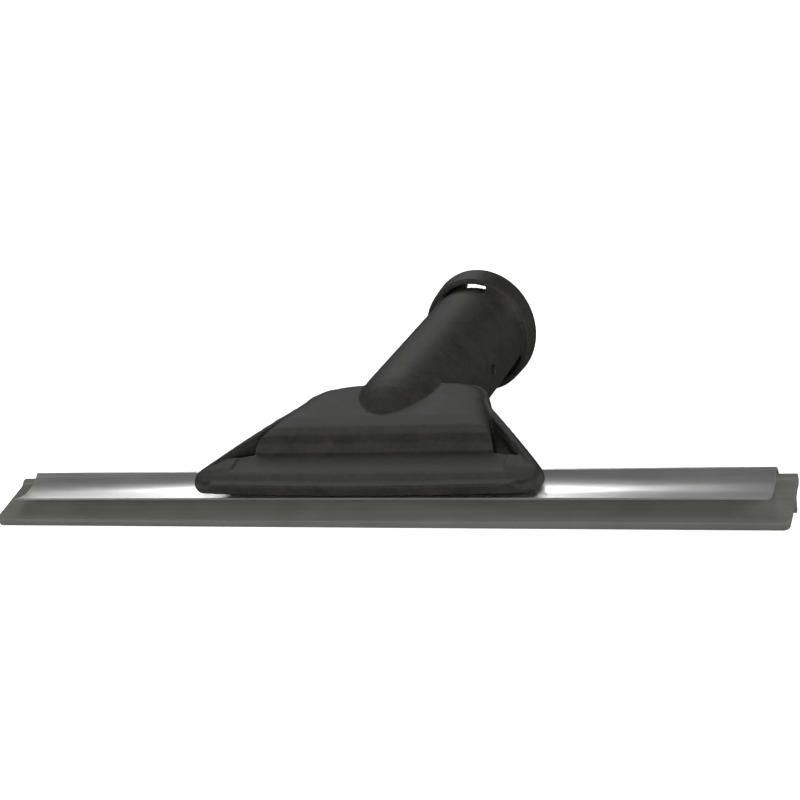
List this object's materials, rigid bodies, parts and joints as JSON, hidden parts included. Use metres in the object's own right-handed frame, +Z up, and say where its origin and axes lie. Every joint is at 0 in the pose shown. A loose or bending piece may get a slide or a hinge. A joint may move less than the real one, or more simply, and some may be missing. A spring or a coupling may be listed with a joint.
{
  "type": "window squeegee head",
  "caption": "Window squeegee head with a fan-shaped body, aluminium channel, slide-out rubber blade and a bayonet socket for a handle.",
  "frame": {"origin": "middle of the head's box, at table height, with the head lying on the table", "axes": "+X along the wiping blade, +Y from the wiping edge back towards the handle, +Z up from the table"},
  "size_m": [0.28, 0.1518, 0.0488],
  "materials": {
    "black_plastic": "fine-grained matte moulded plastic",
    "satin_aluminium": "satin extrusion",
    "grey_rubber": "smooth matte rubber",
    "zinc_steel": "zinc-plated screw"
  },
  "bodies": {
    "head": {"head_shell": "black_plastic", "socket_tube": "black_plastic", "lower_cover": "black_plastic", "blade_channel": "satin_aluminium", "cover_screw_1": "zinc_steel", "cover_screw_2": "zinc_steel", "cover_screw_3": "zinc_steel", "cover_screw_4": "zinc_steel", "channel_screw_1": "zinc_steel", "channel_screw_2": "zinc_steel"},
    "blade": {"rubber_blade": "grey_rubber"}
  },
  "joints": [
    {"name": "blade_slide", "type": "slide", "parent": "head", "child": "blade", "axis": [1, 0, 0], "range_m": [-0.274, 0.274]}
  ]
}
